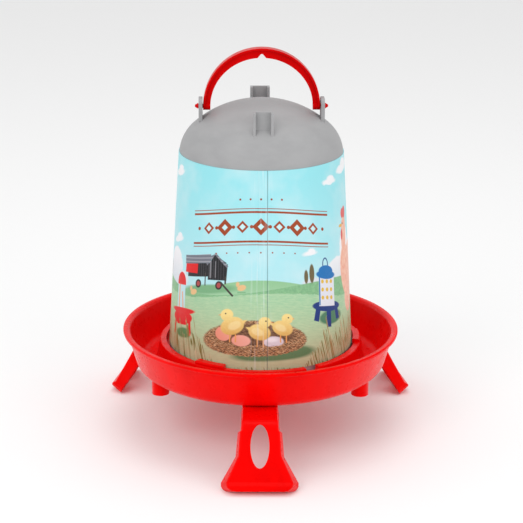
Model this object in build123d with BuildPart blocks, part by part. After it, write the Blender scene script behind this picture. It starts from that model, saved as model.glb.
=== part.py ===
from build123d import *
from math import asin, cos, radians, sin, sqrt, tan
import os

# Poultry waterer fount, in millimetres. The origin is on the ground, on the tray's axis.
# +Z is up and -Y is the front. The tray stands on three splayed legs, the domed bell sits
# in the tray's collar and locks by a short twist, and the carry handle swings on two lugs.

# ---- tray ---------------------------------------------------------------------------
TRAY_BASE = 72.8            # underside of the trough floor
TRAY_WALL = 2.8
TRAY_FOOT_R = 145.0         # where the wall's outside would meet the floor
TRAY_FOOT_ROUND = 12.0
TRAY_TOP_R = 157.0          # outside of the wall under the lip
RIM_R = 162.0
RIM_TOP = 119.3
RIM_LIP = 4.0               # depth of the turned-out lip
RIM_ROUND = 5.0             # rounding of the rim towards the trough
HUB_FOOT_R = 124.0          # where the raised hub meets the trough floor
COLLAR_R = 118.5            # outside of the collar at its top
COLLAR_BORE_R = 111.4
COLLAR_TOP = 105.2
DECK_TOP = 97.3             # seat of the bell
PLATEAU_R = 92.0            # raised middle of the deck, inside the bell
PLATEAU_TOP = 101.3
STUB_R = 10.0               # stub feet, for use without the legs
STUB_CENTRE_R = 133.0
STUB_BOTTOM = 59.1
OUTLET_ANGLES = (60, 300)
OUTLET_WIDTH = 16.0
HOOK_ANGLES = (0, 120, 240)
HOOK_SPAN = 18.0            # degrees of arc of each bayonet hook
STOP_SPAN = 1.5             # degrees of arc of the stop that closes one end of a hook
HOOK_BORE_R = 109.3
HOOK_R = 118.0
HOOK_BOTTOM = 101.3
HOOK_TOP = 108.9
RIB_BOTTOM = 78.3
RIB_WALL = 2.2
BOSS_OF_RIBS_R = 9.0

# ---- bell ---------------------------------------------------------------------------
BELL_WALL = 2.6
BELL_FOOT_R = 107.4
BELL_SHOULDER_R = 94.1
BELL_SHOULDER_Z = 328.3
CAP_R = 120.0               # radius of the dome's crown
SHOULDER_R = 45.0           # radius of the rounding between crown and wall
BELL_TURN = 1.7             # degrees that the seated bell, with its handle, stands turned
TAB_LENGTH = 19.0           # bayonet tabs under the hooks
TAB_R = 110.7
TAB_HEIGHT = 2.8
NOTCH_ANGLE = 60            # place of the water notch in the bell's foot
NOTCH_HEIGHT = 6.0
NOTCH_WIDTH = 12.0
LABEL_GAP = 0.1
LABEL_WALL = 0.7
LABEL_BOTTOM = 103.3
LABEL_TOP = 332.7

# ---- lugs, stand blocks and handle --------------------------------------------------
LUG_TOP = 393.9
PIVOT_Z = 384.3
LUG_IN, LUG_OUT = 67.2, 71.6
LUG_WIDTH = 23.0
LUG_ROUND = 6.0
BLOCK_TOP = 392.1           # the lugs, blocks and crown end nearly level, for standing inverted
BLOCK_WIDTH = 22.8
BLOCK_IN, BLOCK_OUT = 63.0, 73.0
BLOCK_WALL = 3.0
BLOCK_ROOT = 30.0           # how far lugs and blocks reach down, into the dome
SMALL_ROUND = 0.6           # rounding of the edges of lugs, blocks and handle
PIN_R = 2.5
PIN_CLEARANCE = 0.08
BARB_R = 3.5
BARB_TIP_R = 1.3
PIN_TIP_X = 75.8
HANDLE_X, HANDLE_Z = 66.5, 66.9      # outer half width, and height above the pivot
GRIP_X, GRIP_Z = 58.2, 55.4          # inner half width and height
HANDLE_RIM = 2.4
HANDLE_RIM_WIDTH = 13.0
HANDLE_WEB = 4.0
BOSS_R = 4.6
HANG_NOTCH_WIDTH = 10.5
HANG_NOTCH_DEPTH = 4.6

# ---- legs ---------------------------------------------------------------------------
KNEE_R = 182.6              # distance of the knee from the tray's axis
KNEE_TOP = TRAY_BASE - 0.3
SPLAY = 27.3                # degrees from the vertical
LEG_WALL = 2.6
LEG_DEPTH = 14.8            # at the waist
KNEE_DEPTH = 13.2           # less than the knee's rounding, so that the bend stays clean
FOOT_DEPTH = 12.6
TONGUE_DEPTH = 8.0
TONGUE_LENGTH = 90.0        # from the knee inwards, under the tray
TONGUE_FACE, TONGUE_HALF = 15.8, 17.0      # half widths of its top face and its free edges
NECK_LENGTH = 43.6          # full-width stretch between the knee and the tongue's shoulder
NECK_FACE, NECK_HALF = 19.8, 21.1
KNEE_ROUND = 15.0
LEG_FACE, LEG_HALF = 20.3, 21.8      # half widths just below the knee
EAR_START = 9.6
WAIST = 37.3
BEVEL = 7.0
TOE_LIFT = 2.8
FOOT_HALF = 43.0
FOOT_ROUND = 9.0
SOLE = 3.0
SOLE_TRIM = 0.8             # how much of the sole's lower edge is planed level
SLOT_HALF_WIDTH, SLOT_HALF_LENGTH, SLOT_CENTRE = 10.3, 23.9, 27.0
REAR_KNEE_ANGLE = 38.1      # place of the side legs, behind the left-right line
REAR_TOE_ANGLE = 11.0       # way the side legs point, behind the left-right line
RAIL_WALL = 2.4
RAIL_LIP = 4.0
RAIL_CLEARANCE = 0.4
GUIDE_LENGTH = 45.0
GUIDE_REACH_R = 139.0

os.makedirs("parts", exist_ok=True)


def write(part, label):
    part.label = label
    export_step(part, f"parts/{label}.step")


# Leg frames: local +X points outwards from the knee, the origin is on the ground.
rear_x = KNEE_R * cos(radians(REAR_KNEE_ANGLE))
rear_y = KNEE_R * sin(radians(REAR_KNEE_ANGLE))
LEG_PLACES = {
    "front_leg": Location((0, -KNEE_R, 0), (0, 0, -90)),
    "right_leg": Location((rear_x, rear_y, 0), (0, 0, REAR_TOE_ANGLE)),
    "left_leg": Location((-rear_x, rear_y, 0), (0, 0, 180 - REAR_TOE_ANGLE)),
}

# ---- tray ---------------------------------------------------------------------------
floor_top = TRAY_BASE + TRAY_WALL
deck_base = DECK_TOP - TRAY_WALL

with BuildPart() as tray:
    with BuildSketch(Plane.XZ):
        with BuildLine():
            Polyline(
                (0, PLATEAU_TOP),
                (PLATEAU_R - 4, PLATEAU_TOP),
                (PLATEAU_R, DECK_TOP),
                (COLLAR_BORE_R, DECK_TOP),
                (COLLAR_BORE_R, COLLAR_TOP),
                (COLLAR_R, COLLAR_TOP),
                (HUB_FOOT_R, floor_top),
                (TRAY_FOOT_R - TRAY_WALL, floor_top),
                (TRAY_TOP_R - TRAY_WALL, RIM_TOP),
                (RIM_R, RIM_TOP),
                (RIM_R, RIM_TOP - RIM_LIP),
                (TRAY_TOP_R, RIM_TOP - RIM_LIP),
                (TRAY_FOOT_R, TRAY_BASE),
                (HUB_FOOT_R - TRAY_WALL, TRAY_BASE),
                (COLLAR_R - TRAY_WALL, deck_base - TRAY_WALL),
                (PLATEAU_R, deck_base),
                (PLATEAU_R - 4, PLATEAU_TOP - TRAY_WALL),
                (0, PLATEAU_TOP - TRAY_WALL),
                close=True,
            )
        make_face()
    revolve(axis=Axis.Z)
    ring_rounds = (
        (RIM_R, 1.5),
        (TRAY_TOP_R - TRAY_WALL, RIM_ROUND),
        (TRAY_FOOT_R, TRAY_FOOT_ROUND),
        (TRAY_FOOT_R - TRAY_WALL, TRAY_FOOT_ROUND - TRAY_WALL),
        (COLLAR_R, 2.0),
        (HUB_FOOT_R, 3.0),
    )
    for ring_r, round_r in ring_rounds:
        rings = tray.edges().filter_by(GeomType.CIRCLE)
        fillet(rings.filter_by(lambda e: abs(e.radius - ring_r) < 0.01), round_r)

    # Water outlets through the collar.
    with BuildSketch(Plane.XY.offset(DECK_TOP)):
        for angle in OUTLET_ANGLES:
            with Locations(Location((0, 0), angle)):
                with Locations((COLLAR_BORE_R + 4, 0)):
                    Rectangle(24, OUTLET_WIDTH)
    extrude(amount=COLLAR_TOP, mode=Mode.SUBTRACT)

    # Bayonet hooks over the bell's tabs, each closed at one end by a stop.
    for angle in HOOK_ANGLES:
        with BuildSketch(Plane.XZ.rotated((0, 0, angle - HOOK_SPAN / 2))):
            with BuildLine():
                Polyline(
                    (HOOK_BORE_R, HOOK_BOTTOM),
                    (HOOK_R, HOOK_BOTTOM),
                    (HOOK_R, HOOK_TOP - 1.5),
                    (HOOK_R - 1.5, HOOK_TOP),
                    (HOOK_BORE_R, HOOK_TOP),
                    close=True,
                )
            make_face()
        revolve(axis=Axis.Z, revolution_arc=HOOK_SPAN)
        with BuildSketch(Plane.XZ.rotated((0, 0, angle - HOOK_SPAN / 2))):
            with Locations(((HOOK_BORE_R + COLLAR_BORE_R) / 2 + 0.5, (DECK_TOP + HOOK_BOTTOM) / 2)):
                Rectangle(COLLAR_BORE_R - HOOK_BORE_R + 1, HOOK_BOTTOM - DECK_TOP + 1)
        revolve(axis=Axis.Z, revolution_arc=STOP_SPAN)

    # Stub feet, hollow from below.
    with BuildSketch(Plane.XY.offset(STUB_BOTTOM)):
        with PolarLocations(STUB_CENTRE_R, 3, start_angle=90):
            Circle(STUB_R)
            Circle(STUB_R - TRAY_WALL, mode=Mode.SUBTRACT)
    extrude(amount=TRAY_BASE + 0.85 * TRAY_WALL - STUB_BOTTOM)

    # Ribs and a boss stiffen the deck from below.
    with BuildSketch(Plane.XY.offset(RIB_BOTTOM)):
        Circle(BOSS_OF_RIBS_R)
        with PolarLocations((PLATEAU_R - 2) / 2, 6, start_angle=30):
            Rectangle(PLATEAU_R - 2, RIB_WALL)
    extrude(amount=PLATEAU_TOP - RIB_BOTTOM - RIB_WALL)
    rib_in, rib_out = PLATEAU_R - 8, HUB_FOOT_R - 4.7
    with BuildSketch(Plane.XY.offset(RIB_BOTTOM)):
        with PolarLocations((rib_in + rib_out) / 2, 6, start_angle=30):
            Rectangle(rib_out - rib_in, RIB_WALL)
    extrude(amount=deck_base + 0.5 - RIB_BOTTOM)

# Guides under the tray, one for each leg's tongue: a dovetail channel with two lips.
# The channel's flanks run parallel to the tongue's, RAIL_CLEARANCE away from them.
tongue_flare = (TONGUE_HALF - TONGUE_FACE) / TONGUE_DEPTH
flank_gap = RAIL_CLEARANCE * sqrt(1 + tongue_flare**2)
lip_top = KNEE_TOP - TONGUE_DEPTH - RAIL_CLEARANCE
guide_bottom = lip_top - RAIL_WALL
guide_start = -TONGUE_LENGTH - RAIL_CLEARANCE


def channel_half(z):
    return TONGUE_FACE + tongue_flare * (KNEE_TOP - z) + flank_gap


guide_half = channel_half(lip_top) + RAIL_WALL
with BuildPart() as guide_blank:
    with BuildSketch(Plane.YZ.offset(guide_start)):
        with Locations((0, (guide_bottom + floor_top) / 2)):
            Rectangle(2 * guide_half, floor_top - guide_bottom)
        with BuildLine():
            mouth = TONGUE_HALF - RAIL_LIP
            Polyline(
                (0, TRAY_BASE),
                (channel_half(TRAY_BASE), TRAY_BASE),
                (channel_half(lip_top), lip_top),
                (mouth, lip_top),
                (mouth, guide_bottom),
                (0, guide_bottom),
                close=True,
            )
        cavity = make_face(mode=Mode.SUBTRACT)
        mirror(cavity, about=Plane.YZ, mode=Mode.SUBTRACT)
    extrude(amount=GUIDE_LENGTH)
    with BuildSketch(Plane.YZ.offset(guide_start)):
        with Locations((0, (guide_bottom + floor_top) / 2)):
            Rectangle(2 * guide_half, floor_top - guide_bottom)
    extrude(amount=-RAIL_WALL)

with BuildPart() as guides:
    for place in LEG_PLACES.values():
        with Locations(place):
            add(guide_blank.part)
    with BuildSketch(Plane.XY.offset(guide_bottom)):
        Circle(GUIDE_REACH_R)
    extrude(amount=floor_top - guide_bottom, mode=Mode.INTERSECT)

with BuildPart() as tray_whole:
    add(tray.part)
    add(guides.part)

write(tray_whole.part, "tray")

# ---- bell ---------------------------------------------------------------------------
# The crown's centre is on the axis, and the shoulder arc is tangent to crown and wall.
shoulder_x = BELL_SHOULDER_R - SHOULDER_R
cap_centre_z = BELL_SHOULDER_Z - sqrt((CAP_R - SHOULDER_R) ** 2 - shoulder_x**2)
lean = asin(shoulder_x / (CAP_R - SHOULDER_R))
bell_bottom = DECK_TOP + 0.1


def bell_outline(inset, bottom):
    """Half section of the bell, inset from its outside by a wall."""
    cap = CAP_R - inset
    shoulder = SHOULDER_R - inset
    side = BELL_SHOULDER_R - inset
    crown = (0, cap_centre_z + cap)
    mid = (cap * sin(lean / 2), cap_centre_z + cap * cos(lean / 2))
    join = (cap * sin(lean), cap_centre_z + cap * cos(lean))
    half = (lean + radians(90)) / 2
    round_mid = (shoulder_x + shoulder * sin(half), BELL_SHOULDER_Z + shoulder * cos(half))
    foot = (BELL_FOOT_R - inset, bottom)
    ThreePointArc(crown, mid, join)
    ThreePointArc(join, round_mid, (side, BELL_SHOULDER_Z))
    Polyline((side, BELL_SHOULDER_Z), foot, (0, bottom), crown)


# Everything on the dome is drawn square to the axes and turned with the seated bell.
turned = Location((0, 0, 0), (0, 0, BELL_TURN))

with BuildPart() as dome_fittings:
    # Handle lugs, with rounded shoulders.
    with BuildSketch(Plane.YZ.offset(LUG_IN)) as lug_outline:
        with Locations((0, LUG_TOP - BLOCK_ROOT / 2)):
            Rectangle(LUG_WIDTH, BLOCK_ROOT)
        fillet(lug_outline.vertices().group_by(Axis.Z)[-1], LUG_ROUND)
    lug = extrude(amount=LUG_OUT - LUG_IN)
    mirror(lug, about=Plane.YZ)

    # Stand blocks in front of and behind the crown: channels, both open towards the front.
    block_depth = BLOCK_OUT - BLOCK_IN
    with BuildSketch(Plane.XY.offset(BLOCK_TOP)):
        for middle in (-(BLOCK_OUT + BLOCK_IN) / 2, (BLOCK_OUT + BLOCK_IN) / 2):
            with Locations((0, middle)):
                Rectangle(BLOCK_WIDTH, block_depth)
            with Locations((0, middle - BLOCK_WALL)):
                Rectangle(BLOCK_WIDTH - 2 * BLOCK_WALL, block_depth, mode=Mode.SUBTRACT)
    extrude(amount=-BLOCK_ROOT)
    for height in (LUG_TOP, BLOCK_TOP):
        tops = dome_fittings.faces().filter_by(Axis.Z)
        fillet(tops.filter_by(lambda f: abs(f.center().Z - height) < 0.01).edges(), SMALL_ROUND)

with BuildPart() as bell:
    with BuildSketch(Plane.XZ):
        with BuildLine():
            bell_outline(0, bell_bottom)
        make_face()
    revolve(axis=Axis.Z)
    with Locations(turned):
        add(dome_fittings.part)

    # The chamber, open at the bottom.
    with BuildSketch(Plane.XZ):
        with BuildLine():
            bell_outline(BELL_WALL, bell_bottom - 1)
        make_face()
    revolve(axis=Axis.Z, mode=Mode.SUBTRACT)

    # Holes for the handle's pins, through the lugs only.
    for side in (-1, 1):
        lug_middle = Location((side * (LUG_IN + LUG_OUT) / 2, 0, PIVOT_Z), (0, 90, 0))
        with Locations(turned * lug_middle):
            Cylinder(PIN_R + PIN_CLEARANCE, LUG_OUT - LUG_IN + 2, mode=Mode.SUBTRACT)

    # Bayonet tabs on the wall's foot.
    tab_in = BELL_FOOT_R - BELL_WALL / 2
    with BuildSketch(Plane.XY.offset(bell_bottom + 0.2)):
        for angle in HOOK_ANGLES:
            with Locations(Location((0, 0), angle)):
                with Locations(((tab_in + TAB_R) / 2, 0)):
                    Rectangle(TAB_R - tab_in, TAB_LENGTH)
    extrude(amount=TAB_HEIGHT)

    # A notch lets the water out behind one of the collar's outlets.
    with BuildSketch(Plane.XY.offset(bell_bottom - 1)):
        with Locations(Location((0, 0), NOTCH_ANGLE)):
            with Locations((BELL_FOOT_R, 0)):
                Rectangle(4 * BELL_WALL, NOTCH_WIDTH)
    extrude(amount=NOTCH_HEIGHT + 1, mode=Mode.SUBTRACT)

write(bell.part, "bell")

# ---- printed sleeve round the bell --------------------------------------------------
taper = (BELL_FOOT_R - BELL_SHOULDER_R) / (BELL_SHOULDER_Z - bell_bottom)


def bell_radius(z):
    return BELL_FOOT_R - taper * (z - bell_bottom)


with BuildPart() as label_sleeve:
    with BuildSketch(Plane.XZ):
        with BuildLine():
            low, high = bell_radius(LABEL_BOTTOM) + LABEL_GAP, bell_radius(LABEL_TOP) + LABEL_GAP
            Polyline(
                (low, LABEL_BOTTOM),
                (low + LABEL_WALL, LABEL_BOTTOM),
                (high + LABEL_WALL, LABEL_TOP),
                (high, LABEL_TOP),
                close=True,
            )
        make_face()
    revolve(axis=Axis.Z)

write(label_sleeve.part, "label_sleeve")

# ---- carry handle -------------------------------------------------------------------
def half_ring(outer_x, outer_z, inner_x, inner_z):
    """Upper half of an oval ring round the pivot line, in the plane of the handle."""
    with Locations((0, PIVOT_Z)):
        Ellipse(outer_x, outer_z)
        Ellipse(inner_x, inner_z, mode=Mode.SUBTRACT)
        with Locations((0, -outer_z / 2)):
            Rectangle(2 * outer_x, outer_z, mode=Mode.SUBTRACT)


with BuildPart() as handle_square:
    with BuildSketch(Plane.XZ):
        half_ring(HANDLE_X, HANDLE_Z, GRIP_X, GRIP_Z)
        crest = PIVOT_Z + GRIP_Z
        with BuildLine():
            Polyline(
                (-HANG_NOTCH_WIDTH / 2, crest - 2),
                (-HANG_NOTCH_WIDTH / 2, crest - 0.6),
                (-1.3, crest + HANG_NOTCH_DEPTH - 0.6),
                (0, crest + HANG_NOTCH_DEPTH),
                (1.3, crest + HANG_NOTCH_DEPTH - 0.6),
                (HANG_NOTCH_WIDTH / 2, crest - 0.6),
                (HANG_NOTCH_WIDTH / 2, crest - 2),
                close=True,
            )
        make_face(mode=Mode.SUBTRACT)
    extrude(amount=HANDLE_WEB / 2, both=True)
    with BuildSketch(Plane.XZ):
        half_ring(HANDLE_X, HANDLE_Z, HANDLE_X - HANDLE_RIM, HANDLE_Z - HANDLE_RIM)
    extrude(amount=HANDLE_RIM_WIDTH / 2, both=True)
    rim_edges = handle_square.faces().filter_by(Axis.Y).group_by(Axis.Y)
    fillet(rim_edges[0].edges() + rim_edges[-1].edges(), SMALL_ROUND)
    # Bosses at the ends, each with a pin that snaps through its lug.
    for side in (-1, 1):
        with BuildSketch(Plane.YZ.offset(side * GRIP_X)):
            with Locations((0, PIVOT_Z)):
                Circle(BOSS_R)
        extrude(amount=side * (HANDLE_X - GRIP_X))
        barb_x = LUG_OUT + 0.4
        with BuildSketch(Plane.XZ):
            with BuildLine():
                Polyline(
                    (side * (HANDLE_X - 1), PIVOT_Z),
                    (side * (HANDLE_X - 1), PIVOT_Z + PIN_R),
                    (side * barb_x, PIVOT_Z + PIN_R),
                    (side * barb_x, PIVOT_Z + BARB_R),
                    (side * PIN_TIP_X, PIVOT_Z + BARB_TIP_R),
                    (side * PIN_TIP_X, PIVOT_Z),
                    close=True,
                )
            make_face()
        revolve(axis=Axis((0, 0, PIVOT_Z), (1, 0, 0)))

with BuildPart() as handle:
    with Locations(turned):
        add(handle_square.part)

write(handle.part, "handle")

# ---- legs ---------------------------------------------------------------------------
splay = radians(SPLAY)
turn = radians(90) - splay
knee_setback = KNEE_ROUND * tan(turn / 2)
leg_length = (KNEE_TOP - FOOT_DEPTH * sin(splay) + SOLE_TRIM) / cos(splay)
round_start = leg_length - FOOT_ROUND


def toe_inset(s):
    """How far the foot's rounded corners draw in at a distance s down the leg."""
    if s <= round_start:
        return 0.0
    return FOOT_ROUND - sqrt(max(FOOT_ROUND**2 - (s - round_start) ** 2, 0.0))


def knee_stations():
    """Tongue and knee: (x, z, slope, face half width, free-edge half width, depth)."""
    for x in (-TONGUE_LENGTH, -NECK_LENGTH - 0.8):
        yield x, KNEE_TOP, 0.0, TONGUE_FACE, TONGUE_HALF, TONGUE_DEPTH
    yield -NECK_LENGTH, KNEE_TOP, 0.0, NECK_FACE, NECK_HALF, TONGUE_DEPTH
    steps = 5
    for i in range(steps + 1):
        share = i / steps
        slope = turn * share
        yield (
            -knee_setback + KNEE_ROUND * sin(slope),
            KNEE_TOP - KNEE_ROUND * (1 - cos(slope)),
            slope,
            NECK_FACE + (LEG_FACE - NECK_FACE) * share,
            NECK_HALF + (LEG_HALF - NECK_HALF) * share,
            TONGUE_DEPTH + (KNEE_DEPTH - TONGUE_DEPTH) * share,
        )


def shin_stations(end):
    """Below the knee, as far as end: the ears, the waist, the flared foot and its toe."""
    shape = [(EAR_START, 20.7, 22.6, KNEE_DEPTH, 0), (EAR_START + 1.2, 21.6, 24.5, KNEE_DEPTH, 0)]
    shape += [(WAIST, 23.3, 26.7, LEG_DEPTH, 0)]
    shape += [(round_start - 1, FOOT_HALF - BEVEL, FOOT_HALF - 0.4, FOOT_DEPTH, 0)]
    for share in (0.35, 0.6, 0.8, 0.93, 1.0):
        s = round_start + share * FOOT_ROUND
        half = FOOT_HALF - toe_inset(s)
        lift = TOE_LIFT * sin(share * radians(150))
        shape.append((s, half - BEVEL, half, FOOT_DEPTH, lift))
    for s, face, half, depth, lift in shape:
        s = min(s, end)
        yield (
            s * sin(splay) + lift * cos(splay),
            KNEE_TOP - s * cos(splay) + lift * sin(splay),
            turn,
            face,
            half,
            depth + lift,
        )
        if s == end:
            return


def leg_sections(stations, wall, round_r):
    """Sections of a channel's outside (wall 0) or of its hollow, one for each station."""
    sections = []
    for x, z, slope, face, half, depth in stations:
        up = Vector(sin(slope), 0, cos(slope))
        start = Vector(x, 0, z) - up * wall
        reach = depth - wall + (1.0 if wall else 0.0)
        thin = wall * 0.9
        across = Plane(start, x_dir=(0, 1, 0), z_dir=(cos(slope), 0, -sin(slope)))
        with BuildSketch(across) as section:
            with BuildLine():
                Polyline(
                    (-face + thin, 0),
                    (face - thin, 0),
                    (half - thin, -reach),
                    (-half + thin, -reach),
                    close=True,
                )
            make_face()
            fillet(section.vertices().group_by(Axis.Y)[-1], round_r)
        sections.append(section.sketch)
    return sections


with BuildPart() as leg_outside:
    loft(leg_sections([*knee_stations(), *shin_stations(leg_length)], 0, 3.0), ruled=True)

with BuildPart() as leg_hollow:
    hollow_stations = [*knee_stations(), *shin_stations(leg_length - SOLE)]
    loft(leg_sections(hollow_stations, LEG_WALL, 1.2), ruled=True)

with BuildPart() as leg_blank:
    add(leg_outside.part)
    add(leg_hollow.part, mode=Mode.SUBTRACT)
    # Oval opening in the face.
    slot_start = Vector(0, 0, KNEE_TOP) + Vector(sin(splay), 0, -cos(splay)) * SLOT_CENTRE
    slot_plane = Plane(slot_start, x_dir=(0, 1, 0), z_dir=(cos(splay), 0, sin(splay)))
    with BuildSketch(slot_plane.offset(-LEG_DEPTH / 2)):
        Ellipse(SLOT_HALF_WIDTH, SLOT_HALF_LENGTH)
    extrude(amount=LEG_DEPTH, mode=Mode.SUBTRACT)
    # The sole's lower edge is planed level with the ground.
    with BuildSketch(Plane.XY):
        with Locations((LEG_DEPTH, 0)):
            Rectangle(6 * LEG_DEPTH, 3 * FOOT_HALF)
    extrude(amount=-4 * SOLE_TRIM, mode=Mode.SUBTRACT)

for leg_name, place in LEG_PLACES.items():
    with BuildPart() as leg:
        with Locations(place):
            add(leg_blank.part)
    write(leg.part, leg_name)
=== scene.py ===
import bpy
import math
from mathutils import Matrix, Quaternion, Vector


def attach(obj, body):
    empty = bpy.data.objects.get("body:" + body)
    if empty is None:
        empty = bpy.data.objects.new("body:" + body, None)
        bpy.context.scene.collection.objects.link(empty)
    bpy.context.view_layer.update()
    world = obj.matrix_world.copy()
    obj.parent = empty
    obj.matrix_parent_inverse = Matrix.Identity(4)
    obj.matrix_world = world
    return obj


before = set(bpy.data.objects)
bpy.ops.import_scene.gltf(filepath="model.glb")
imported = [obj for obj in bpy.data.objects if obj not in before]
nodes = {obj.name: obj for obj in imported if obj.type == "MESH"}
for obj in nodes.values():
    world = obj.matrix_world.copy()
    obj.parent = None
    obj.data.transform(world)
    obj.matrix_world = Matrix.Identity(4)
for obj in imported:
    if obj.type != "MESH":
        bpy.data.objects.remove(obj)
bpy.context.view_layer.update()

# ---- camera and studio, in metres -------------------------------------------------------
AIM_HEIGHT = 0.19806
CAMERA_DISTANCE = 2.094
CAMERA_PITCH = math.radians(17.8)
CAMERA_ROLL = math.radians(0.28)
SENSOR = 36.0                           # mm
LENS_IN_FRAME_WIDTHS = 3.4226
SHIFT_X = 0.0013
WORLD_STRENGTH = 0.80
LIGHT_AIM = (0, 0, 0.2)
LIGHTS = (                              # name, place, diameter, watts
    ("key", (-1.3, -1.9, 2.0), 1.8, 17),
    ("fill", (1.7, -1.8, 0.9), 1.6, 9),
    ("top", (0.1, 0.3, 2.4), 1.4, 9),
)
FLOOR_SIZE = 12
FLOOR_SHADE, FLOOR_PALE = (0.945, 0.945, 0.945), (0.955, 0.955, 0.955)


def make_camera():
    data = bpy.data.cameras.new("camera")
    data.sensor_width = SENSOR
    data.lens = SENSOR * LENS_IN_FRAME_WIDTHS
    data.shift_x = SHIFT_X
    camera = bpy.data.objects.new("camera", data)
    back = Vector((0, -math.cos(CAMERA_PITCH), math.sin(CAMERA_PITCH)))
    camera.location = Vector((0, 0, AIM_HEIGHT)) + back * CAMERA_DISTANCE
    camera.rotation_mode = "QUATERNION"
    roll = Quaternion((0, 0, 1), CAMERA_ROLL)
    camera.rotation_quaternion = (-back).to_track_quat("-Z", "Y") @ roll
    bpy.context.scene.collection.objects.link(camera)
    bpy.context.scene.camera = camera


def area_light(name, place, diameter, power):
    data = bpy.data.lights.new(name, "AREA")
    data.shape = "DISK"
    data.size = diameter
    data.energy = power
    light = bpy.data.objects.new(name, data)
    light.location = place
    light.rotation_mode = "QUATERNION"
    light.rotation_quaternion = (Vector(LIGHT_AIM) - Vector(place)).to_track_quat("-Z", "Y")
    bpy.context.scene.collection.objects.link(light)


def make_studio():
    scene = bpy.context.scene
    scene.view_settings.view_transform = "Standard"
    world = bpy.data.worlds.new("studio")
    world.use_nodes = True
    background = world.node_tree.nodes["Background"]
    background.inputs["Color"].default_value = (1, 1, 1, 1)
    background.inputs["Strength"].default_value = WORLD_STRENGTH
    scene.world = world
    for name, place, diameter, power in LIGHTS:
        area_light(name, place, diameter, power)
    bpy.ops.mesh.primitive_plane_add(size=FLOOR_SIZE)
    floor = bpy.context.object
    floor.name = "floor"
    ink = Ink("studio_floor", roughness=0.9, specular=0.1)
    grain = ink.noise(ink.object_mm, scale=0.5, detail=2)
    ink.finish(ink.mix(ink.number(grain, 0.4, 0.6), FLOOR_SHADE, FLOOR_PALE))
    floor.data.materials.append(ink.material)


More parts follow.
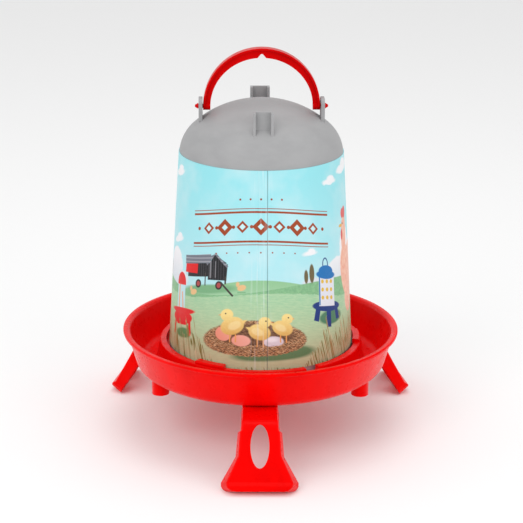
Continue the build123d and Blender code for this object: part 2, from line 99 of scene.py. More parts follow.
# ---- a small kit for drawing with shader nodes ------------------------------------------
class Ink:
    """Builds one material. Lengths are millimetres; colours are linear RGB."""

    def __init__(self, name, roughness, specular, tint=(1, 1, 1)):
        self.material = bpy.data.materials.new(name)
        self.material.use_nodes = True
        self.tree = self.material.node_tree
        self.shader = self.tree.nodes["Principled BSDF"]
        self.shader.inputs["Roughness"].default_value = roughness
        self.shader.inputs["Specular IOR Level"].default_value = specular
        self.shader.inputs["Specular Tint"].default_value = (*tint, 1)
        place = self.tree.nodes.new("ShaderNodeTexCoord").outputs["Object"]
        self.object_mm = self.vector("SCALE", place, 1000.0)

    def put(self, socket, value):
        """Links a socket to another node's output, or sets it to a constant."""
        if isinstance(value, bpy.types.NodeSocket):
            self.tree.links.new(value, socket)
        elif isinstance(value, tuple) and len(value) == 3 and socket.type == "RGBA":
            socket.default_value = (*value, 1)
        else:
            socket.default_value = value

    def math(self, operation, a, b=0.0):
        node = self.tree.nodes.new("ShaderNodeMath")
        node.operation = operation
        self.put(node.inputs[0], a)
        self.put(node.inputs[1], b)
        return node.outputs[0]

    def vector(self, operation, a, b=None):
        node = self.tree.nodes.new("ShaderNodeVectorMath")
        node.operation = operation
        self.put(node.inputs[0], a)
        if b is not None:
            self.put(node.inputs["Scale" if operation == "SCALE" else 1], b)
        return node.outputs["Value" if operation in ("LENGTH", "DOT_PRODUCT") else "Vector"]

    def split(self, value):
        axes = ((1.0, 0.0, 0.0), (0.0, 1.0, 0.0), (0.0, 0.0, 1.0))
        return [self.vector("DOT_PRODUCT", value, axis) for axis in axes]

    def join(self, x, y):
        node = self.tree.nodes.new("ShaderNodeCombineXYZ")
        for socket, value in zip(node.inputs, (x, y, 0.0)):
            self.put(socket, value)
        return node.outputs[0]

    def number(self, value, low, high, to_low=0.0, to_high=1.0):
        """Maps low..high onto to_low..to_high, held at the ends."""
        node = self.tree.nodes.new("ShaderNodeMapRange")
        for i, v in enumerate((value, low, high, to_low, to_high)):
            self.put(node.inputs[i], v)
        return node.outputs[0]

    def mix(self, share, a, b):
        node = self.tree.nodes.new("ShaderNodeMix")
        node.data_type = "RGBA"
        sockets = [s for s in node.inputs if s.enabled]
        self.put(sockets[0], share)
        self.put(sockets[1], a)
        self.put(sockets[2], b)
        return [s for s in node.outputs if s.enabled][0]

    def noise(self, place, scale, detail, rough=0.5):
        node = self.tree.nodes.new("ShaderNodeTexNoise")
        self.put(node.inputs["Vector"], place)
        node.inputs["Scale"].default_value = scale
        node.inputs["Detail"].default_value = detail
        node.inputs["Roughness"].default_value = rough
        return node.outputs[0]

    def bump(self, height, depth_mm, strength):
        node = self.tree.nodes.new("ShaderNodeBump")
        node.inputs["Strength"].default_value = strength
        node.inputs["Distance"].default_value = depth_mm / 1000
        self.put(node.inputs["Height"], height)
        self.put(self.shader.inputs["Normal"], node.outputs[0])

    def finish(self, colour, roughness=None):
        self.put(self.shader.inputs["Base Color"], colour)
        if roughness is not None:
            self.put(self.shader.inputs["Roughness"], roughness)

    # Flat shapes: each gives a distance in mm that is negative inside. Turns are in degrees.
    def local(self, place, centre, turn):
        moved = self.vector("SUBTRACT", place, (centre[0], centre[1], 0.0))
        if not turn:
            return moved
        node = self.tree.nodes.new("ShaderNodeVectorRotate")
        node.rotation_type = "Z_AXIS"
        self.put(node.inputs["Vector"], moved)
        node.inputs["Angle"].default_value = -math.radians(turn)
        return node.outputs[0]

    def oval(self, place, centre, radii, turn=0):
        q = self.vector("DIVIDE", self.local(place, centre, turn), (radii[0], radii[1], 1.0))
        return self.math("MULTIPLY", self.math("SUBTRACT", self.vector("LENGTH", q), 1.0), min(radii))

    def box(self, place, centre, halves, turn=0):
        q = self.vector("ABSOLUTE", self.local(place, centre, turn))
        q = self.split(self.vector("SUBTRACT", q, (halves[0], halves[1], 0.0)))
        return self.math("MAXIMUM", q[0], q[1])

    def wedge(self, place, tip, base, half_width):
        """A triangle from its tip to the middle of its base."""
        along = Vector((base[0] - tip[0], base[1] - tip[1]))
        length = along.length
        turn = math.degrees(math.atan2(along.y, along.x))
        q = self.split(self.local(place, tip, turn))
        slope = self.math("MULTIPLY", q[0], half_width / length)
        side = self.math("SUBTRACT", self.math("ABSOLUTE", q[1]), slope)
        return self.math("MAXIMUM", side, self.math("SUBTRACT", q[0], length))

    def strip(self, value, half, middle=0.0):
        """The band where a value lies within half of its middle."""
        if middle:
            value = self.math("SUBTRACT", value, middle)
        return self.math("SUBTRACT", self.math("ABSOLUTE", value), half)

    def union(self, *shapes):
        total = shapes[0]
        for shape in shapes[1:]:
            total = self.math("MINIMUM", total, shape)
        return total

    def both(self, *shapes):
        total = shapes[0]
        for shape in shapes[1:]:
            total = self.math("MAXIMUM", total, shape)
        return total

    def outside(self, shape):
        return self.math("MULTIPLY", shape, -1.0)


# ---- moulded plastics -------------------------------------------------------------------
RED, RED_SHADE = (0.93, 0.0012, 0.001), (0.82, 0.001, 0.001)
# The handle's two reds are the red plastic darkened: painted shade for the shadow on its recessed web.
SHADED_HANDLE_RED, SHADED_HANDLE_RED_DARK = (0.66, 0.0012, 0.002), (0.56, 0.001, 0.0016)
RED_GLOSS = (1.0, 0.06, 0.05)
GREY_SHADE, GREY_PALE, GREY_GRAIN = (0.330, 0.330, 0.336), (0.375, 0.375, 0.380), (0.36, 0.36, 0.365)


def make_red(name, colour, shade):
    """Glossy moulded plastic: faint flow marks in the colour, dust-fine pits, rubbed patches."""
    ink = Ink(name, roughness=0.3, specular=0.30, tint=RED_GLOSS)
    mm = ink.object_mm
    flow = ink.noise(ink.vector("MULTIPLY", mm, (1.0, 1.0, 0.35)), scale=0.03, detail=3)
    rubbed = ink.noise(mm, scale=0.11, detail=4, rough=0.6)
    pits = ink.noise(mm, scale=1.6, detail=2)
    relief = ink.math("ADD", ink.math("MULTIPLY", pits, 0.3), ink.math("MULTIPLY", rubbed, 0.5))
    ink.bump(relief, depth_mm=0.014, strength=0.3)
    tone = ink.mix(ink.number(flow, 0.35, 0.65), shade, colour)
    ink.finish(tone, ink.number(rubbed, 0.35, 0.7, 0.24, 0.42))
    return ink.material


def make_grey():
    """Satin moulded plastic of the dome, with a fine grain and faint cooling marks."""
    ink = Ink("grey_plastic", roughness=0.5, specular=0.4)
    mm = ink.object_mm
    marks = ink.noise(ink.vector("MULTIPLY", mm, (1.0, 1.0, 2.2)), scale=0.035, detail=4, rough=0.55)
    grain = ink.noise(mm, scale=2.4, detail=3)
    relief = ink.math("ADD", grain, ink.math("MULTIPLY", marks, 1.5))
    ink.bump(relief, depth_mm=0.05, strength=0.6)
    tone = ink.mix(ink.number(marks, 0.35, 0.65), GREY_SHADE, GREY_PALE)
    tone = ink.mix(ink.number(grain, 0.3, 0.7, 0.0, 0.6), tone, GREY_GRAIN)
    ink.finish(tone, ink.number(marks, 0.3, 0.7, 0.44, 0.58))
    return ink.material


# ---- printed sleeve ---------------------------------------------------------------------
SKY_TOP, SKY_LOW = (0.30, 0.74, 0.80), (0.46, 0.79, 0.85)
CLOUD, CLOUD_SHADE = (0.86, 0.86, 0.88), (0.66, 0.74, 0.80)
HILL_FAR, HILL_NEAR = (0.26, 0.53, 0.27), (0.19, 0.43, 0.22)
FIELD_FAR, FIELD_NEAR = (0.34, 0.60, 0.36), (0.52, 0.61, 0.36)
BLADE, CYPRESS = (0.60, 0.74, 0.46), (0.15, 0.115, 0.05)
WOOD, WOOD_PALE, DOORWAY = (0.010, 0.010, 0.013), (0.055, 0.055, 0.065), (0.20, 0.20, 0.22)
SHINGLE, SHINGLE_PALE = (0.17, 0.18, 0.22), (0.34, 0.35, 0.39)
TYRE, HUB, STRUT = (0.03, 0.02, 0.02), (0.42, 0.07, 0.07), (0.05, 0.04, 0.035)
RULE, RULE_HOLE = (0.34, 0.050, 0.008), (0.56, 0.84, 0.87)
RED_INK, BLUE_INK, BLUE_DARK = (0.72, 0.006, 0.008), (0.006, 0.16, 0.46), (0.004, 0.032, 0.20)
TANK, TANK_STRIPE = (0.52, 0.76, 0.82), (0.80, 0.36, 0.16)
DRUM, DRUM_SPOT = (0.74, 0.77, 0.84), (0.74, 0.48, 0.06)
SHADOW_LEFT, SHADOW_RIGHT, SHADOW_NEST = (0.10, 0.27, 0.10), (0.07, 0.22, 0.12), (0.12, 0.25, 0.11)
FAR_HEN, FEATHER, FEATHER_PALE = (0.78, 0.50, 0.24), (0.82, 0.36, 0.25), (0.90, 0.56, 0.42)
COMB = (0.70, 0.10, 0.09)
STRAW, STRAW_DARK, STRAW_PALE = (0.44, 0.23, 0.10), (0.075, 0.032, 0.014), (0.74, 0.50, 0.27)
HOLLOW = (0.33, 0.17, 0.08)
EGG_PINK, EGG_PINK_PALE = (0.83, 0.30, 0.20), (0.92, 0.55, 0.46)
EGG_WHITE, EGG_WHITE_PALE = (0.70, 0.63, 0.68), (0.86, 0.80, 0.84)
YELLOW, AMBER, WING = (0.90, 0.72, 0.27), (0.72, 0.42, 0.10), (0.93, 0.80, 0.42)
CHICK_LEG, CHICK_EYE = (0.80, 0.36, 0.10), (0.03, 0.02, 0.02)
STALK_GREEN, STALK_BROWN, STALK_PALE = (0.13, 0.17, 0.03), (0.33, 0.24, 0.08), (0.70, 0.64, 0.40)
# The seam colour below is a painted shadow along the overlap's edge.
SEAM_SHADOW, CREASE_PALE, FILM_GRAIN = (0.05, 0.11, 0.13), (0.80, 0.90, 0.92), (0.70, 0.75, 0.75)

PRINT_RADIUS = 100.0        # mm, the radius that the picture is laid out on
ARCH = 22.0                 # the artwork's lines bow by this many mm between front and side
SEAM_AT = 7.1               # mm right of the front line
BACK_SHIFT = 82.0           # mm that the hen at the back is moved round
CLOUDS = (                  # centre and size
    (92, 325, 1.0), (128, 340, 1.5), (-128, 334, 1.2), (-121, 256, 1.0), (59, 242, 0.7),
    (-205, 300, 1.6), (-262, 262, 1.1), (205, 310, 1.3), (262, 330, 1.5), (300, 252, 1.1),
)
BILLOWS = (                 # centre and radii of the banks of cloud behind the hills
    (108, 216, 26, 22), (126, 245, 16, 26), (88, 208, 16, 12), (66, 206, 18, 7),
    (-126, 222, 20, 24), (-108, 210, 14, 10), (170, 214, 34, 16), (-180, 212, 38, 18),
    (236, 216, 30, 12), (-250, 214, 30, 14),
)
CYPRESSES = (               # centre and radii
    (52.5, 214, 2.6, 8), (60, 218, 3.4, 11), (-150, 216, 3.2, 11), (-158, 213, 2.6, 8),
    (190, 212, 3.2, 10), (276, 214, 3, 10),
)
RULES = ((290.5, 0.45), (286.6, 1.15), (253.2, 1.15), (249.4, 0.45))     # height and half width
RULE_HALF_LENGTH = 86.0
DIAMOND_HEIGHT, DIAMONDS = 270, (-63, -42, -21, 0, 21, 42, 63)
BEADS = (-77, -52.5, -31.5, -10.5, 10.5, 31.5, 52.5, 77)
CHICKS = ((-31, 156, -1, 1.12), (-1, 148.5, 1, 1.0), (24, 153.5, 1, 0.95))  # centre, facing, size


class Print(Ink):
    """The sleeve's picture, on a sheet in mm: x round from the front at PRINT_RADIUS, y up."""

    def __init__(self):
        super().__init__("printed_sleeve", roughness=0.46, specular=0.22)
        x, y, z = self.split(self.object_mm)
        round_angle = self.math("ARCTAN2", x, self.math("MULTIPLY", y, -1.0))
        bow = self.math("POWER", self.math("SINE", round_angle), 2.0)
        paper = self.join(self.math("MULTIPLY", round_angle, PRINT_RADIUS),
                          self.math("ADD", z, self.math("MULTIPLY", bow, ARCH)))

        # Every noise is made before the first shape, and the shapes lie on a sheet that carries a
        # trace of all of them. That order keeps the renderer's working set small.
        self.noises = self.make_noises(paper)
        trace = 0.0
        for value in self.noises.values():
            trace = self.math("ADD", value, trace)
        nudge = self.join(self.number(trace, 3.0, 10.0, -0.05, 0.05), 0.0)
        self.flat = self.vector("ADD", paper, nudge)
        self.along, self.up = self.split(self.flat)[:2]
        self.angle = self.math("MULTIPLY", self.along, 1 / PRINT_RADIUS)
        wobble = self.number(self.noises["wobble"], 0, 1, -3, 3)
        self.shaky = self.vector("ADD", self.flat, self.join(wobble, wobble))
        self.art = None

    def make_noises(self, paper):
        mm = self.object_mm
        across, high = self.split(paper)[:2]
        leaning = self.math("ADD", across, self.math("MULTIPLY", high, 0.22))
        straw_way = self.join(self.math("ADD", across, high),
                              self.math("SUBTRACT", high, self.math("MULTIPLY", across, 0.35)))
        cross_way = self.join(self.math("SUBTRACT", across, high),
                              self.math("ADD", high, self.math("MULTIPLY", across, 0.5)))
        stalk_way = self.join(leaning, self.math("MULTIPLY", high, 0.035))

        def stretched(place, factors, scale, detail, rough=0.5):
            return self.noise(self.vector("MULTIPLY", place, factors), scale, detail, rough)

        return {
            "wobble": self.noise(mm, scale=0.12, detail=3),
            "haze": self.noise(paper, scale=0.02, detail=3),
            "tufts": self.noise(paper, scale=0.25, detail=4, rough=0.6),
            "blades": stretched(paper, (0.35, 1.6, 1.0), scale=0.35, detail=4, rough=0.65),
            "feathers": stretched(paper, (1.0, 0.5, 1.0), scale=0.3, detail=3),
            "straw": stretched(straw_way, (0.35, 2.0, 1.0), scale=0.5, detail=3, rough=0.6),
            "cross": stretched(cross_way, (0.35, 1.8, 1.0), scale=0.55, detail=3, rough=0.6),
            "down": self.noise(paper, scale=0.45, detail=3),
            "stalks": self.noise(stalk_way, scale=0.42, detail=1),
            "ragged": self.noise(self.join(leaning, 0.0), scale=0.16, detail=2),
            "crease": stretched(paper, (1.0, 0.04, 1.0), scale=0.42, detail=2),
            "grain": self.noise(mm, scale=1.1, detail=2),
            "ripple": stretched(mm, (1.0, 1.0, 0.3), scale=0.06, detail=2),
        }

    def lay(self, shape, colour, soft=0.35):
        """Prints a colour inside a shape, over what is there, fading across soft mm each way."""
        self.art = self.mix(self.number(shape, soft, -soft), self.art, colour)

    def wave(self, height, swing, waves, start):
        """Distance above a rolling line."""
        roll = self.math("SINE", self.math("ADD", self.math("MULTIPLY", self.angle, float(waves)), start))
        return self.math("SUBTRACT", self.up, self.math("ADD", self.math("MULTIPLY", roll, swing), height))


def draw_sky(ink):
    ink.art = ink.mix(ink.number(ink.up, 200, 330), SKY_LOW, SKY_TOP)
    ink.art = ink.mix(ink.number(ink.noises["haze"], 0.45, 0.75, 0, 0.35), ink.art, CLOUD)
    clouds = []
    for cx, cy, size in CLOUDS:
        clouds.append(ink.oval(ink.shaky, (cx, cy), (13 * size, 3.6 * size), 10))
        clouds.append(ink.oval(ink.shaky, (cx + 3 * size, cy + 3.2 * size), (7.5 * size, 4.2 * size)))
    ink.lay(ink.union(*clouds), CLOUD, 0.8)
    billows = [ink.oval(ink.shaky, (cx, cy), (rx, ry)) for cx, cy, rx, ry in BILLOWS]
    ink.lay(ink.union(*billows), ink.mix(ink.number(ink.up, 205, 240), CLOUD_SHADE, CLOUD), 0.8)


def draw_land(ink):
    """Hills, cypresses and field."""
    up, tufts = ink.up, ink.noises["tufts"]
    ink.lay(ink.wave(204.0, 4.5, 3, 1.55), ink.mix(ink.number(up, 192, 212), FIELD_FAR, HILL_FAR), 0.5)
    near = ink.both(ink.wave(203.0, 11.0, 2, -0.75), ink.math("SUBTRACT", 190.0, up))
    ink.lay(near, ink.mix(ink.number(tufts, 0.35, 0.65), HILL_NEAR, HILL_FAR), 0.5)
    trees = [ink.oval(ink.flat, (cx, cy), (rx, ry)) for cx, cy, rx, ry in CYPRESSES]
    ink.lay(ink.union(*trees), CYPRESS)
    field = ink.mix(ink.number(up, 186, 120), FIELD_FAR, FIELD_NEAR)
    field = ink.mix(ink.number(ink.noises["blades"], 0.40, 0.66, 0, 0.45), field, BLADE)
    edge = ink.math("ADD", ink.wave(192.0, 2.0, 3, 0.4), ink.number(tufts, 0.3, 0.7, -1.2, 1.2))
    ink.lay(edge, field, 0.5)


def draw_hen_house(ink):
    """A hen house on wheels, with its ramp."""
    flat = ink.flat
    ink.lay(ink.oval(flat, (-62, 199.5), (36, 5.2)), HILL_NEAR, 1.2)
    planks = ink.math("SINE", ink.math("MULTIPLY", ink.along, 1.9))
    timber = ink.mix(ink.number(planks, 0.6, 1.0), WOOD, WOOD_PALE)
    house = ink.union(ink.box(flat, (-50, 219), (12, 9.5), -4), ink.box(flat, (-77, 222), (17, 8)),
                      ink.wedge(flat, (-54, 240), (-51, 226), 13))
    ink.lay(house, timber)
    doorway = ink.union(ink.box(flat, (-59, 222), (1.1, 9.5)), ink.box(flat, (-52.5, 222), (0.6, 9.5)))
    ink.lay(doorway, DOORWAY, 0.25)
    ink.lay(ink.box(flat, (-88, 224), (10.5, 5.6), -3), RED_INK)
    tiles = ink.math("SINE", ink.math("MULTIPLY", ink.up, 1.5))
    roof = ink.union(ink.box(flat, (-79, 234.5), (20.5, 5.0), 2),
                     ink.wedge(flat, (-52, 240.5), (-66, 231), 4.5),
                     ink.box(flat, (-45.5, 232.5), (11.5, 1.1), -46))
    ink.lay(roof, ink.mix(ink.number(tiles, 0.2, 0.9), SHINGLE, SHINGLE_PALE))
    for radii, colour in (((4.3, 5), TYRE), ((2.5, 3.0), HUB)):
        ink.lay(ink.union(ink.oval(flat, (-76, 206), radii), ink.oval(flat, (-48, 203.5), radii)), colour)
    struts = ink.union(ink.box(flat, (-66, 211), (0.7, 7.5)), ink.box(flat, (-40, 209), (1.0, 4.5)),
                       ink.box(flat, (-38.5, 199), (1.1, 11.5), 42))
    ink.lay(struts, STRUT, 0.25)


def draw_far_hens(ink):
    """Two hens far off in the field, both facing left, each over its shadow."""
    for cx, cy in ((-83, 196), (-21, 200)):
        hen = ink.union(ink.oval(ink.flat, (cx, cy), (5.0, 3.4), 14),
                        ink.oval(ink.flat, (cx - 4.4, cy + 4.0), (2.0, 3.0)))
        ink.lay(ink.box(ink.flat, (cx, cy - 5.4), (4.6, 0.7)), HILL_NEAR, 0.6)
        ink.lay(hen, FAR_HEN, 0.4)


def draw_rules(ink):
    """Double rules with a string of diamonds and beads between them, and rows of dots outside."""
    flat = ink.flat
    lines = []
    for height, half in RULES:
        bar = ink.strip(ink.up, half, height)
        lines.append(ink.both(bar, ink.strip(ink.along, RULE_HALF_LENGTH)))
    shape = ink.union(*lines)
    for cx in DIAMONDS:
        big = 7.0 if cx % 2 == 0 else 5.0
        shape = ink.union(shape, ink.box(flat, (cx, DIAMOND_HEIGHT), (big, big), 45))
    for cx in BEADS:
        shape = ink.union(shape, ink.oval(flat, (cx, DIAMOND_HEIGHT), (2.0, 2.0)))
    ink.lay(shape, RULE, 0.25)
    holes = [ink.box(flat, (cx, DIAMOND_HEIGHT), (2.6, 2.6), 45) for cx in DIAMONDS]
    ink.lay(ink.union(*holes), RULE_HOLE, 0.25)
    dots = [ink.oval(flat, (cx, 301), (1.2, 1.2)) for cx in (-24, -12, 0, 12, 24)]
    dots += [ink.oval(flat, (cx, 240.5), (0.9, 0.9)) for cx in (-52, -39, -26, -13, 0, 13, 26, 39)]
    ink.lay(ink.union(*dots), RULE, 0.25)


def draw_drinker(ink):
    """The red drinker at the left."""
    flat = ink.flat
    ink.lay(ink.oval(flat, (-99, 146), (15, 6)), SHADOW_LEFT, 1.0)
    ink.lay(ink.box(flat, (-107, 190), (8.5, 18)), TANK)
    stripe = ink.union(ink.box(flat, (-111, 188), (1.2, 15)), ink.box(flat, (-103, 184), (1.0, 11), 8))
    ink.lay(stripe, TANK_STRIPE)
    lid = ink.both(ink.oval(flat, (-107, 205), (9.5, 13)), ink.math("SUBTRACT", 203.0, ink.up))
    drinker = ink.union(lid, ink.oval(flat, (-104, 164), (20.0, 8.5)),
                        ink.oval(flat, (-104, 172), (24.0, 3.8)),
                        ink.box(flat, (-119, 154), (2.0, 11), -6), ink.box(flat, (-88, 154), (2.0, 11), 6),
                        ink.box(flat, (-104, 157), (10, 1.6)))
    ink.lay(drinker, RED_INK)


def draw_feeder(ink):
    """The blue feeder at the right."""
    flat = ink.flat
    ink.lay(ink.oval(flat, (88, 167), (19, 8.5), 8), SHADOW_RIGHT, 1.0)
    cradle = ink.union(ink.oval(flat, (82, 180), (22, 6.4)), ink.box(flat, (67, 172), (3.4, 10), -12),
                       ink.box(flat, (84, 167), (3.6, 12)), ink.box(flat, (98, 173), (3.0, 9), 10))
    ink.lay(cradle, BLUE_DARK)
    ink.lay(ink.box(flat, (82, 198), (12.5, 18)), DRUM)
    spots = [ink.oval(flat, (cx, cy), (2.1, 2.4)) for cx in (75, 82, 89) for cy in (190, 199.5, 209)]
    ink.lay(ink.union(*spots), DRUM_SPOT, 0.3)
    ink.lay(ink.box(flat, (70.6, 199), (0.9, 18)), BLUE_INK)
    bail = ink.both(ink.oval(flat, (80, 229), (4.6, 8.0)),
                    ink.outside(ink.oval(flat, (80, 229), (3.2, 6.4))))
    ink.lay(bail, BLUE_DARK, 0.3)
    cap = ink.union(ink.oval(flat, (81, 217), (15.0, 5.2), -2), ink.oval(flat, (81, 221), (11.5, 7.0)))
    ink.lay(cap, BLUE_INK)


def draw_right_hen(ink):
    """A big hen at the right, facing the front."""
    flat = ink.flat
    hen = ink.union(ink.oval(flat, (128, 218), (17, 33), 8), ink.oval(flat, (124, 262), (8, 26), -4),
                    ink.oval(flat, (134, 190), (14, 22), -12), ink.oval(flat, (150, 226), (24, 26)))
    plumage = ink.mix(ink.number(ink.noises["feathers"], 0.35, 0.65), FEATHER, FEATHER_PALE)
    ink.lay(hen, plumage, 0.5)
    comb = ink.union(ink.oval(flat, (121, 287), (4.5, 6.0)), ink.oval(flat, (127, 288), (5.0, 7.0)),
                     ink.oval(flat, (117.5, 262), (2.8, 6.5)))
    ink.lay(comb, COMB, 0.5)
    ink.lay(ink.oval(flat, (114.5, 273), (4.5, 1.9), 8), AMBER, 0.3)
    ink.lay(ink.oval(flat, (120.5, 275), (1.2, 1.2)), WOOD, 0.3)


def draw_back_hen(ink):
    """A smaller hen at the back, standing."""
    plumage = ink.mix(ink.number(ink.noises["feathers"], 0.35, 0.65), FEATHER, FEATHER_PALE)
    far = ink.vector("ADD", ink.flat, (BACK_SHIFT, 0.0, 0.0))
    hen = ink.union(ink.oval(far, (-128, 200), (22, 16), -10), ink.oval(far, (-112, 214), (7, 10)),
                    ink.oval(far, (-148, 212), (9, 13), 24), ink.box(far, (-124, 182), (1.0, 8)),
                    ink.box(far, (-133, 182), (1.0, 8)))
    ink.lay(hen, plumage, 0.5)
    comb = ink.union(ink.oval(far, (-112, 224), (4.0, 3.2)), ink.oval(far, (-107, 208), (1.6, 3.2)))
    ink.lay(comb, COMB, 0.4)
    ink.lay(ink.oval(far, (-103.5, 216), (3.4, 1.3), -8), AMBER, 0.3)
    ink.lay(ink.oval(far, (-109, 218), (0.9, 0.9)), WOOD, 0.3)


def draw_chick(ink, cx, cy, way, size):
    flat = ink.flat
    fluff = ink.math("ADD", ink.up, ink.math("MULTIPLY", ink.noises["down"], 14.0))
    coat = ink.mix(ink.number(fluff, cy - 4, cy + 20), AMBER, YELLOW)
    legs = ink.union(ink.box(flat, (cx - 2.4, cy - 13 * size), (0.7, 4.6)),
                     ink.box(flat, (cx + 4.0, cy - 13 * size), (0.7, 4.6)))
    beak = ink.wedge(flat, (cx + way * 14.6 * size, cy + 11.4 * size),
                     (cx + way * 9 * size, cy + 12.4 * size), 1.9)
    body = ink.union(ink.oval(flat, (cx, cy), (12.0 * size, 9.2 * size), -16 * way),
                     ink.oval(flat, (cx + 5.5 * way * size, cy + 11.5 * size), (6.6 * size, 6.3 * size)),
                     ink.wedge(flat, (cx - way * 15 * size, cy + 6 * size),
                               (cx - way * 5 * size, cy + 1 * size), 5.0))
    ink.lay(ink.union(legs, beak), CHICK_LEG, 0.3)
    ink.lay(body, coat, 0.6)
    wing = ink.oval(flat, (cx - 2.4 * way * size, cy + 0.4), (6.8 * size, 4.2 * size), -24 * way)
    ink.lay(wing, ink.mix(0.5, coat, WING), 0.8)
    ink.lay(ink.oval(flat, (cx + 6.8 * way * size, cy + 13 * size), (0.85, 0.85)), CHICK_EYE, 0.3)


def draw_nest(ink):
    """The nest: shadow, far lip, hollow, eggs, chicks and near wall."""
    flat = ink.flat
    along_straw, cross = ink.noises["straw"], ink.noises["cross"]
    straw = ink.mix(ink.number(along_straw, 0.44, 0.54), STRAW_DARK, STRAW)
    straw = ink.mix(ink.number(cross, 0.52, 0.60, 0, 0.85), straw, STRAW_PALE)
    ink.lay(ink.oval(flat, (16, 124), (46, 9), 5), SHADOW_NEST, 1.2)
    fray = ink.join(ink.number(cross, 0.3, 0.7, -1.4, 1.4), ink.number(along_straw, 0.3, 0.7, -1.0, 1.0))
    rough = ink.vector("ADD", flat, fray)
    ink.lay(ink.oval(rough, (-7, 141), (58, 21)), straw, 0.6)
    ink.lay(ink.oval(flat, (-6, 145.5), (44, 12.5)),
            ink.mix(ink.number(cross, 0.4, 0.7), STRAW_DARK, HOLLOW), 1.0)
    pink = ink.mix(ink.number(ink.along, -52, 20), EGG_PINK, EGG_PINK_PALE)
    eggs = ink.union(ink.oval(flat, (-41, 147), (9.6, 8.2), -24),
                     ink.oval(flat, (-21, 138.5), (10.5, 6.6), -6))
    ink.lay(eggs, pink, 0.5)
    ink.lay(ink.oval(flat, (14, 137.5), (11, 6.2), 3), EGG_WHITE, 0.5)
    ink.lay(ink.oval(flat, (12, 139.5), (6, 2.6), 3), EGG_WHITE_PALE, 1.2)
    for chick in CHICKS:
        draw_chick(ink, *chick)
    lip = ink.both(ink.oval(rough, (-7, 141), (58, 21)), ink.outside(ink.oval(rough, (-6, 149), (49, 18.5))))
    ink.lay(lip, straw, 0.6)


def draw_grasses(ink):
    """Tall grasses at the sides: dark stalks, with pale ones between them."""
    stalk_at, ragged = ink.noises["stalks"], ink.noises["ragged"]
    reach = ink.math("MULTIPLY", ink.number(ink.math("COSINE", ink.angle), 0.90, 0.70),
                     ink.number(ragged, 0.3, 0.7, 20, 72))
    tall = ink.math("SUBTRACT", ink.up, ink.math("ADD", reach, 107.0))
    mm_per_noise = 24.0
    stalks = ink.both(ink.math("MULTIPLY", ink.strip(stalk_at, 0.034, 0.5), mm_per_noise), tall)
    ink.lay(stalks, ink.mix(ink.number(ragged, 0.4, 0.6), STALK_GREEN, STALK_BROWN), 0.3)
    pale = ink.both(ink.math("MULTIPLY", ink.strip(stalk_at, 0.012, 0.58), mm_per_noise), tall)
    ink.lay(pale, STALK_PALE, 0.3)


def finish_film(ink):
    """The painted shadow along the overlap's edge, soft creases beside it, and the film's grain and ripple.
    """
    # A dark band along the overlap's edge: painted shadow of the upper layer's edge.
    seam_shadow = ink.strip(ink.along, 0.22, SEAM_AT + 0.25)
    art = ink.mix(ink.number(seam_shadow, 0.5, -0.1, 0.0, 0.62), ink.art, SEAM_SHADOW)
    crease, grain, ripple = ink.noises["crease"], ink.noises["grain"], ink.noises["ripple"]
    near_seam = ink.number(ink.math("ABSOLUTE", ink.math("ADD", ink.along, 1.0)), 16.0, 3.0)
    creased = ink.math("MULTIPLY", near_seam, ink.number(crease, 0.52, 0.66, 0, 0.30))
    art = ink.mix(creased, art, CREASE_PALE)
    art = ink.mix(ink.number(grain, 0.3, 0.7, 0.0, 0.03), art, FILM_GRAIN)
    height = ink.math("ADD", ink.math("MULTIPLY", ink.math("MULTIPLY", crease, near_seam), 0.5),
                      ink.math("MULTIPLY", ripple, 2.0))
    ink.bump(ink.math("ADD", height, ink.math("MULTIPLY", grain, 0.05)), depth_mm=0.25, strength=0.5)
    ink.finish(art, ink.number(ripple, 0.3, 0.7, 0.36, 0.48))


def make_print():
    """A farmyard scene printed on film, drawn from the sky forwards."""
    ink = Print()
    for draw in (draw_sky, draw_land, draw_hen_house, draw_far_hens, draw_rules, draw_drinker,
                 draw_feeder, draw_right_hen, draw_back_hen, draw_nest, draw_grasses):
        draw(ink)
    finish_film(ink)
    return ink.material


# ---- extra pieces, in metres ------------------------------------------------------------
SLEEVE_LOW, SLEEVE_HIGH = (0.10786, 0.1033), (0.09465, 0.3327)      # outer radius and height of its ends
FLAP_UNDER, FLAP_THICK = -0.0002, 0.0003                            # below and above the sleeve's face
FLAP_FROM, FLAP_TO = -0.028, 0.071                                  # radians from the front line
FLAP_ACROSS, FLAP_RINGS = 10, 24


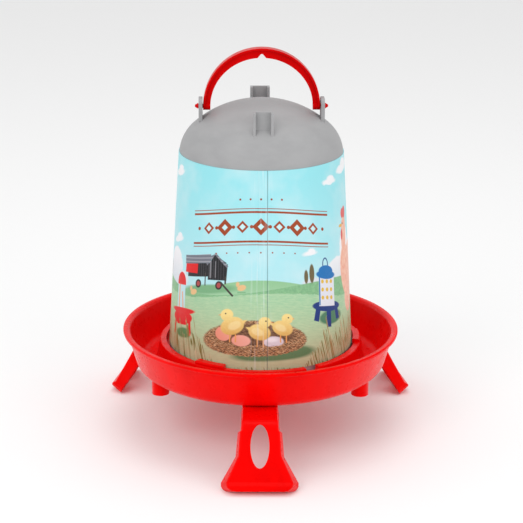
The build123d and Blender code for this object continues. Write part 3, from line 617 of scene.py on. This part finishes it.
def make_seam_flap(material):
    """The sleeve's upper layer where its ends overlap: a thin curved strip with real thickness."""
    points, faces = [], []
    for lift in (FLAP_UNDER, FLAP_THICK):
        for i in range(FLAP_RINGS + 1):
            share = i / FLAP_RINGS
            radius = SLEEVE_LOW[0] + (SLEEVE_HIGH[0] - SLEEVE_LOW[0]) * share + lift
            height = SLEEVE_LOW[1] + (SLEEVE_HIGH[1] - SLEEVE_LOW[1]) * share
            for j in range(FLAP_ACROSS + 1):
                a = FLAP_FROM + (FLAP_TO - FLAP_FROM) * j / FLAP_ACROSS
                points.append((radius * math.sin(a), -radius * math.cos(a), height))
    row, layer = FLAP_ACROSS + 1, (FLAP_ACROSS + 1) * (FLAP_RINGS + 1)
    for i in range(FLAP_RINGS):
        for j in range(FLAP_ACROSS):
            p = i * row + j
            faces.append((layer + p, layer + p + 1, layer + p + row + 1, layer + p + row))
            faces.append((p, p + row, p + row + 1, p + 1))
        for p, q in ((i * row, (i + 1) * row), ((i + 1) * row + FLAP_ACROSS, i * row + FLAP_ACROSS)):
            faces.append((p, layer + p, layer + q, q))
    for j in range(FLAP_ACROSS):
        for p, q in ((j + 1, j), (FLAP_RINGS * row + j, FLAP_RINGS * row + j + 1)):
            faces.append((p, layer + p, layer + q, q))
    mesh = bpy.data.meshes.new("seam_flap")
    mesh.from_pydata(points, [], faces)
    mesh.materials.append(material)
    flap = bpy.data.objects.new("seam_flap", mesh)
    bpy.context.scene.collection.objects.link(flap)
    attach(flap, "fount")


def dress(name, material):
    """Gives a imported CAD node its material, and leaves its mesh alone."""
    piece = nodes[name]
    if not piece.data.materials:
        piece.data.materials.append(None)
    for slot in piece.material_slots:
        slot.link = "OBJECT"
        slot.material = material


make_camera()
make_studio()
red = make_red("red_plastic", RED, RED_SHADE)
# The handle gets a darker copy of the red plastic: painted shade.
painted_shade_red = make_red("handle_red_painted_shade", SHADED_HANDLE_RED, SHADED_HANDLE_RED_DARK)
grey = make_grey()
printed = make_print()
for name in ("tray", "front_leg", "right_leg", "left_leg"):
    dress(name, red)
dress("handle", painted_shade_red)
dress("bell", grey)
dress("label_sleeve", printed)
make_seam_flap(printed)
